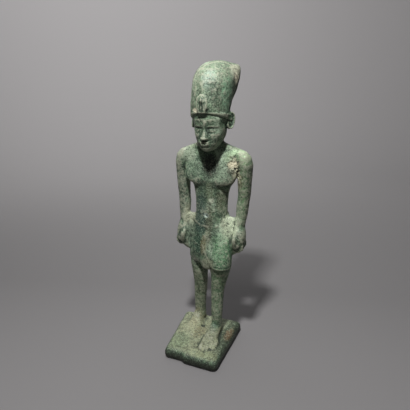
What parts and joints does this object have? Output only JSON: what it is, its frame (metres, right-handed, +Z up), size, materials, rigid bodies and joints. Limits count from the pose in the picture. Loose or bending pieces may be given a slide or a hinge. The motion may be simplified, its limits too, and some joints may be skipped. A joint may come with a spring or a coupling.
{
  "type": "striding pharaoh statuette",
  "caption": "Small cast bronze figure of a striding ruler in a tall crown and short kilt, fists closed at its sides, on a low base.",
  "frame": {"origin": "centre of the base's flat underside", "axes": "+Z up through the figure, -Y the way the figure faces, +X towards the figure's left hand"},
  "size_m": [0.047, 0.0513, 0.1666],
  "materials": {
    "bronze": "green patina over dark bronze, pitted and worn, with cream and pale green crust"
  },
  "bodies": {
    "root": {"statuette": "bronze"}
  },
  "joints": []
}
